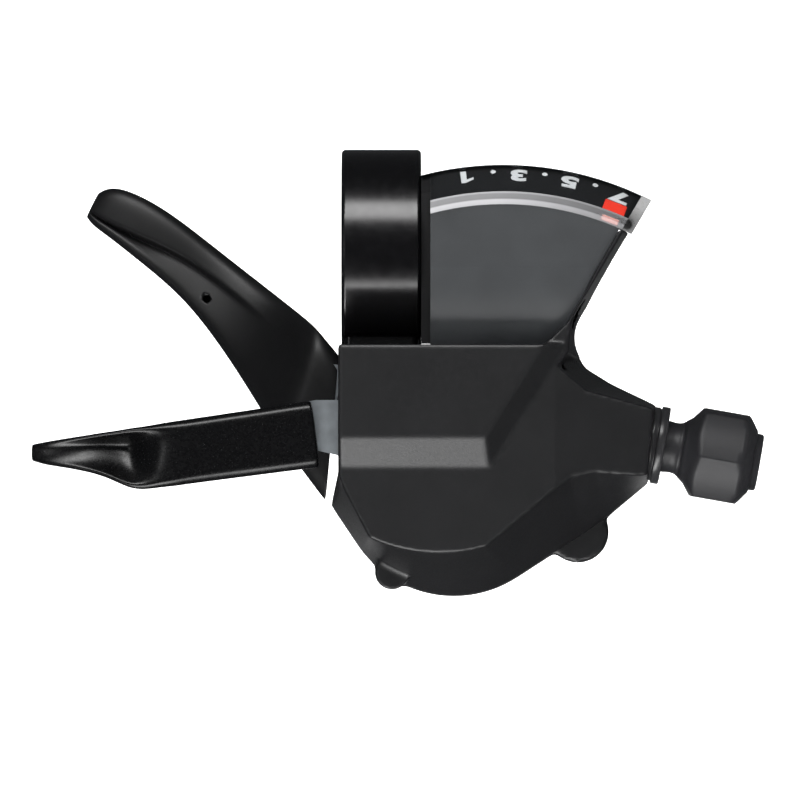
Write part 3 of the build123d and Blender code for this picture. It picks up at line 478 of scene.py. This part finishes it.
# ---- release lever's finger pad ----
# Stations from the tip to the root: x, upper and lower z, depths of the front at both rims, then at
# three places between them, and depth of the back.
PAD = [
    (-48.5, -27.1, -29.3, -11.3, -11.3, -11.3, -11.3, -11.3, -9.8),
    (-46.6, -26.7, -29.9, -12.6, -12.7, -12.2, -12.2, -12.4, -8.0),
    (-43.6, -26.2, -30.3, -13.7, -13.8, -12.8, -12.9, -13.3, -6.8),
    (-41.0, -25.8, -30.8, -14.3, -14.5, -12.6, -13.0, -13.7, -6.2),
    (-38.6, -25.4, -31.4, -14.8, -15.0, -11.9, -12.6, -13.6, -5.9),
    (-36.4, -25.1, -32.4, -15.2, -15.4, -11.3, -12.3, -13.5, -5.8),
    (-34.8, -24.8, -33.1, -15.4, -15.6, -11.2, -12.2, -13.4, -5.8),
    (-33.3, -24.6, -33.3, -15.6, -15.7, -12.6, -13.2, -14.2, -5.8),
    (-31.9, -24.4, -33.2, -15.8, -15.9, -14.4, -14.6, -15.1, -5.8),
    (-30.4, -24.1, -33.0, -15.9, -16.0, -15.4, -15.4, -15.6, -6.0),
    (-28.4, -23.8, -32.8, -15.9, -16.0, -15.8, -15.8, -15.8, -6.3),
    (-26.4, -23.5, -32.5, -15.8, -15.8, -15.8, -15.8, -15.8, -6.9),
    (-21.0, -22.7, -31.8, -15.5, -15.5, -15.5, -15.5, -15.5, -8.2),
    (-16.3, -22.0, -31.2, -15.5, -15.5, -15.5, -15.5, -15.5, -9.4),
    (-12.5, -21.4, -30.7, -15.5, -15.5, -15.5, -15.5, -15.5, -10.4),
    (-9.6, -21.0, -30.2, -15.4, -15.4, -15.4, -15.4, -15.4, -11.0),
]


def pad_ring(station):
    """Round the finger pad: rolled upper edge, front with its scoop, rolled lower edge and back."""
    x, top, low, top_y, low_y, upper_y, middle_y, lower_y, back_y = station
    height = top - low
    lean = 1.2 if x > -10 else 0.0
    across = [(0.0, top_y + 0.9), (0.07, top_y), (0.22, upper_y), (0.5, middle_y), (0.78, lower_y),
              (0.93, low_y), (1.0, low_y + 0.9)]
    ring = [(x + lean * part, y, top - height * part) for part, y in across]
    return ring + [(x + lean, back_y, low), (x, back_y, top)]


def finger_pad():
    """The release lever's pad, scooped near its tip for the finger."""
    creases = {0: 0.8, 6: 0.8, 7: 0.6, 8: 0.6}
    cage = ring_mesh("pad", supported([pad_ring(station) for station in PAD]), creases)
    mesh = applied(cage, [("SUBSURF", {"levels": LEVER_LEVELS, "render_levels": LEVER_LEVELS})])
    mesh.name = "release_lever_pad"
    piece("release_lever_pad", mesh, "release_lever", "lever_black", LEVER_GLOSS, ["release_lever_cover"])


finger_pad()


# ---- cable adjuster ----
KNOB_PLACES = [KNOB_START, 2.9, 3.3, 3.7, 4.1, 4.5, 4.9, 5.3, 6.0, 8.0, 10.0, 10.6, 11.0, 11.4, 11.8, 12.2,
               KNOB_END]
COLLAR = [(12.5, 3.98), (13.2, 3.95), (13.4, 3.75), (13.4, 3.42), (KNOB_START, 3.42)]


def knob_radius(turn, along):
    """Six slightly bowed sides that meet in ridges, cut by a cone at each end."""
    part = math.pi / KNOB_SIDES
    off = (turn + part) % (2 * part) - part
    side = KNOB_R + 0.55 * (1 / math.cos(off) - 1) / (1 / math.cos(part) - 1)
    entry = 4.0 + (along - KNOB_START) * 0.75 + max(0.0, along - 3.3) * 0.55
    return min(side, entry, KNOB_R + (11.1 - along) * 1.4)


def knob_profile(turn):
    return [(along, knob_radius(turn - KNOB_TURN, along)) for along in KNOB_PLACES] + COLLAR


def knob():
    """The six-sided knob with its collar, hollow for the barrel bolt."""
    side = ADJUSTER_AXIS.cross(DEPTH_AXIS).normalized()
    mesh = turned_mesh("knob", knob_profile, ADJUSTER_AT, ADJUSTER_AXIS, side, 240)
    piece("fluted_knob", mesh, "adjuster", "knob_black", replaced=["adjuster_knob"])


def neck():
    """The sliding sleeve, waisted where it shows."""
    profile = [(-4.0, 2.5), (-4.0, 3.6), (0.4, 3.58), (0.9, 3.5), (1.5, 3.5), (2.0, 3.62),
               (KNOB_START, 3.95), (KNOB_START, 2.5)]
    mesh = lathe_mesh("neck", profile, ADJUSTER_AT, ADJUSTER_AXIS)
    piece("waisted_sleeve", mesh, "adjuster_carriage", "knob_black", replaced=["adjuster_sleeve"])


def bush():
    """The grey bush: a stepped flange against the end of the case."""
    profile = [(-9.0, 3.65), (-9.0, 4.6), (-2.6, 4.6), (-2.6, 5.1), (-1.45, 5.2), (-1.35, 5.05), (-1.2, 5.05),
               (-1.15, 5.35), (-1.05, 5.4), (-0.15, 5.4), (0.0, 5.28), (0.0, 3.65)]
    mesh = lathe_mesh("bush", profile, ADJUSTER_AT, ADJUSTER_AXIS)
    piece("flanged_bush", mesh, "root", "bush_grey", replaced=["adjuster_bush"])


knob()
neck()
bush()


# ---- display ----
# Sections of the lens as (radius about the needle's pivot, depth): front and outer side, then the back.
LENS_OUTER = [(LENS_BASE_R, -17.7), (39.65, -17.64), (41.15, -16.72), (LENS_BAND_R, LENS_BEND_Y),
              (41.42, -16.44), (43.2, -14.1), (44.9, -11.86), (LENS_OUTER_R, LENS_BACK_Y)]
LENS_INNER = [(44.62, -11.24), (40.88, -16.14), (LENS_BASE_R, -17.0)]
BEVEL_LINES = 3                   # lines of the section, from its first, that lie on the frosted bevel


def lens_angles(radius):
    """Angles about the needle's pivot at which a circle meets the lens's left and right ends."""
    left = math.acos((DISPLAY_LEFT - DIAL.x / MM) / radius)
    start = Vector((RIM_TOP[0] - DIAL.x / MM, RIM_TOP[1] - DIAL.z / MM))
    along = Vector((math.cos(END_SLOPE), math.sin(END_SLOPE)))
    run = start.dot(along)
    meet = start + along * (-run + math.sqrt(run * run - start.length_squared + radius * radius))
    return left, math.atan2(meet.y, meet.x)


def lens_ring(part, inset):
    """The lens's section at a part of its way from the left end, pulled in from the right end."""
    ring = []
    for radius, y in LENS_OUTER + LENS_INNER:
        left, right = lens_angles(radius)
        turn = left + (right + inset / radius - left) * part
        ring.append((DIAL.x / MM + radius * math.cos(turn), y, DIAL.z / MM + radius * math.sin(turn)))
    return ring


def lens():
    """The lens as one piece: clear band, frosted inner bevel, and a whitish end at the right."""
    rings = [lens_ring(step / LENS_STEPS, END_WIDTH) for step in range(LENS_STEPS + 1)]
    rings += [lens_ring(1.0, END_WIDTH * part) for part in (0.97, 0.5, 0.08, 0.0)]
    mesh = ring_mesh("lens_body", rings)
    for material in (MATERIALS["clear_lens"], FROSTED_PAINTED_LIGHT, LENS_END):
        mesh.materials.append(material)
    for index, face in enumerate(mesh.polygons):
        column, line = divmod(index, len(rings[0]))
        if column >= LENS_STEPS:
            face.material_index = 2
        elif line < BEVEL_LINES:
            face.material_index = 1
    mesh.shade_smooth()
    mesh.set_sharp_from_angle(angle=math.radians(35))
    piece("lens_body", mesh, "root", "clear_lens", replaced=["indicator_lens"])


lens()


# The marker's tip and its foot: radius and depth at the near edge and at the far edge, half the width,
# and thickness.
MARKER_BLOCKS = [
    (41.32, -14.95, 42.75, -13.05, 1.6, 0.25),
    (39.75, -16.6, 40.6, -16.15, 1.25, 0.1),
]


def marker():
    """The needle's red tip over the dial, and its foot that shows through the frosted bevel."""
    turn = math.radians(GEAR_SEVEN_ANGLE)
    along = Vector((math.cos(turn), 0, math.sin(turn)))
    across = Vector((math.sin(turn), 0, -math.cos(turn)))
    work = bmesh.new()
    for index, (near_r, near_y, far_r, far_y, half, thick) in enumerate(MARKER_BLOCKS):
        corners = []
        front = [(near_r, near_y), (far_r, far_y)]
        back = [(far_r - 0.1, far_y + thick), (near_r - 0.1, near_y + thick)]
        for radius, y in front + back:
            for side in (-half, half):
                corners.append(work.verts.new(DIAL + (along * radius + across * side + DEPTH_AXIS * y) * MM))
        quads = [(0, 1, 3, 2), (2, 3, 5, 4), (4, 5, 7, 6), (6, 7, 1, 0), (0, 2, 4, 6), (1, 7, 5, 3)]
        for quad in quads:
            work.faces.new([corners[k] for k in quad]).material_index = index
    bmesh.ops.recalc_face_normals(work, faces=work.faces)
    bmesh.ops.bevel(work, geom=work.edges[:], offset=0.00006, segments=2, affect="EDGES")
    mesh = finished("marker", work)
    mesh.materials.append(MATERIALS["marker_red"])
    # The foot's material is a painted glow.
    mesh.materials.append(MARKER_FOOT_PAINTED_GLOW)
    piece("marker", mesh, "needle", "marker_red", replaced=["needle_tip"])


marker()


def band_frame(distance, depth, angle):
    """Place and turn of something printed on the sloping band, its top towards the needle's pivot."""
    run = Vector((LENS_OUTER_R - LENS_BAND_R, LENS_BACK_Y - LENS_BEND_Y)).normalized()
    outward = Vector((run.y, -run.x))
    radius, y = Vector((LENS_BAND_R, LENS_BEND_Y)) + run * distance - outward * depth
    turn = math.radians(angle)
    ray = Vector((math.cos(turn), 0, math.sin(turn)))
    up = -(ray * run.x + Vector((0, run.y, 0)))
    normal = ray * outward.x + Vector((0, outward.y, 0))
    right = up.cross(normal)
    matrix = Matrix((right, up, normal)).transposed().to_4x4()
    matrix.translation = DIAL + (ray * radius + DEPTH_AXIS * y) * MM
    return matrix


def raised(name, work, taper=1.0):
    """The flat face in the bmesh as a thin print, its top edge drawn in by the taper."""
    face = bmesh.ops.extrude_face_region(work, geom=work.faces[:])
    top = [item for item in face["geom"] if isinstance(item, bmesh.types.BMVert)]
    bmesh.ops.translate(work, verts=top, vec=(0, 0, PRINT_THICK * MM))
    bmesh.ops.scale(work, verts=top, vec=(taper, taper, 1))
    return finished(name, work)


def one_mesh():
    """The digit 1 with its slanting flag."""
    outline = [(0.06, -0.5), (0.36, -0.5), (0.36, 0.5), (0.12, 0.5), (-0.3, 0.26), (-0.3, 0.08), (0.06, 0.24)]
    height = DIGIT_HEIGHT * MM
    work = bmesh.new()
    work.faces.new([work.verts.new((x * height, y * height, 0)) for x, y in outline])
    return raised("one", work)


def digit_mesh(text):
    """A bold digit of the right height, centred, with a little thickness."""
    if text == "1":
        return one_mesh()
    curve = bpy.data.curves.new("digit", "FONT")
    curve.body = text
    curve.offset = 0.045
    curve.extrude = 0.01
    holder = bpy.data.objects.new("digit", curve)
    bpy.context.scene.collection.objects.link(holder)
    bpy.context.view_layer.update()
    mesh = bpy.data.meshes.new_from_object(holder.evaluated_get(bpy.context.evaluated_depsgraph_get()))
    bpy.data.objects.remove(holder)
    corners = [vertex.co.copy() for vertex in mesh.vertices]
    low = Vector([min(c[k] for c in corners) for k in range(3)])
    high = Vector([max(c[k] for c in corners) for k in range(3)])
    size = DIGIT_HEIGHT * MM / (high.y - low.y)
    grow = Matrix.Diagonal((size * DIGIT_WIDEN, size, size, 1))
    mesh.transform(grow @ Matrix.Translation(-(low + high) / 2))
    mesh.materials.clear()
    return mesh


def dot_mesh():
    """A small round dot with a sloping rim."""
    work = bmesh.new()
    bmesh.ops.create_circle(work, cap_ends=True, segments=24, radius=DOT_R * MM)
    return raised("dot", work, 0.9)


def print_dial():
    """Gear numbers 1, 3, 5 and 7 with dots between them."""
    for gear in range(1, 8):
        angle = GEAR_SEVEN_ANGLE + GEAR_STEP * (7 - gear)
        odd = gear % 2
        mesh = digit_mesh(str(gear)) if odd else dot_mesh()
        distance = DIGIT_AT if odd else DOT_AT
        mesh.transform(band_frame(distance, DIAL_DEPTH, angle))
        name = f"gear_mark_{gear}"
        mesh.name = name
        piece(name, mesh, "root", "dial_black", PRINT_WHITE)


print_dial()


# ---- camera, light and floor ----
def aim(thing, target):
    thing.rotation_euler = (target - thing.location).to_track_quat("-Z", "Y").to_euler()


def camera():
    data = bpy.data.cameras.new("camera")
    data.sensor_width = 36.0
    data.lens = data.sensor_width * VIEW_DISTANCE / VIEW_WIDTH
    data.clip_start = 0.05
    data.clip_end = 10.0
    thing = bpy.data.objects.new("camera", data)
    thing.location = VIEW_CENTRE - DEPTH_AXIS * VIEW_DISTANCE
    aim(thing, VIEW_CENTRE)
    bpy.context.scene.collection.objects.link(thing)
    bpy.context.scene.camera = thing


def softbox(name, side, height, distance, size, watts):
    """An area light seen from the object at an angle to the side and above the horizon."""
    across = math.radians(side)
    up = math.radians(height)
    out = Vector((math.sin(across) * math.cos(up), -math.cos(across) * math.cos(up), math.sin(up)))
    data = bpy.data.lights.new(name, "AREA")
    data.shape = "RECTANGLE"
    data.size = size[0]
    data.size_y = size[1]
    data.energy = watts
    thing = bpy.data.objects.new(name, data)
    thing.location = VIEW_CENTRE + out * distance
    aim(thing, VIEW_CENTRE)
    bpy.context.scene.collection.objects.link(thing)


def studio():
    """A pale round floor that sweeps up into a wall on every side, and a dim even room."""
    profile = [(0.00001, FLOOR_Z), (WALL_R - SWEEP_R, FLOOR_Z)]
    for step in range(1, 13):
        turn = math.pi / 2 * step / 12
        profile.append((WALL_R - SWEEP_R * (1 - math.sin(turn)), FLOOR_Z + SWEEP_R * (1 - math.cos(turn))))
    profile.append((WALL_R, WALL_TOP))
    work = bmesh.new()
    rows = []
    for step in range(96):
        turn = math.tau * step / 96
        rows.append([work.verts.new((r * math.cos(turn), r * math.sin(turn), z)) for r, z in profile])
    for row, following in zip(rows, rows[1:] + rows[:1]):
        for k in range(len(profile) - 1):
            work.faces.new((row[k], following[k], following[k + 1], row[k + 1]))
    mesh = finished("studio_sweep", work)
    mesh.shade_smooth()
    material, tree, shader = new_material("studio_white")
    shader.inputs["Base Color"].default_value = (0.86, 0.86, 0.86, 1)
    shader.inputs["Roughness"].default_value = 0.9
    shader.inputs["Emission Color"].default_value = (1, 1, 1, 1)
    shader.inputs["Emission Strength"].default_value = 1.0
    mesh.materials.append(material)
    sweep = bpy.data.objects.new("studio_sweep", mesh)
    sweep.visible_glossy = False
    sweep.visible_shadow = False
    bpy.context.scene.collection.objects.link(sweep)
    world = bpy.data.worlds.new("studio")
    world.use_nodes = True
    world.node_tree.nodes["Background"].inputs["Color"].default_value = (0.92, 0.96, 1.0, 1)
    world.node_tree.nodes["Background"].inputs["Strength"].default_value = 0.06
    bpy.context.scene.world = world


camera()
studio()
softbox("upper", -12, 48, 0.7, (0.5, 0.25), 4.0)
softbox("lower", -32, -66, 0.4, (0.2, 0.14), 0.8)
softbox("lower front", -8, -48, 0.6, (0.4, 0.26), 2.2)
softbox("left", -38, 5, 0.8, (0.12, 0.35), 0.3)
softbox("right", 70, 30, 0.8, (0.25, 0.35), 0.25)
softbox("back", 180, -14, 0.9, (0.5, 0.3), 0.5)
bpy.context.scene.view_settings.view_transform = "Standard"
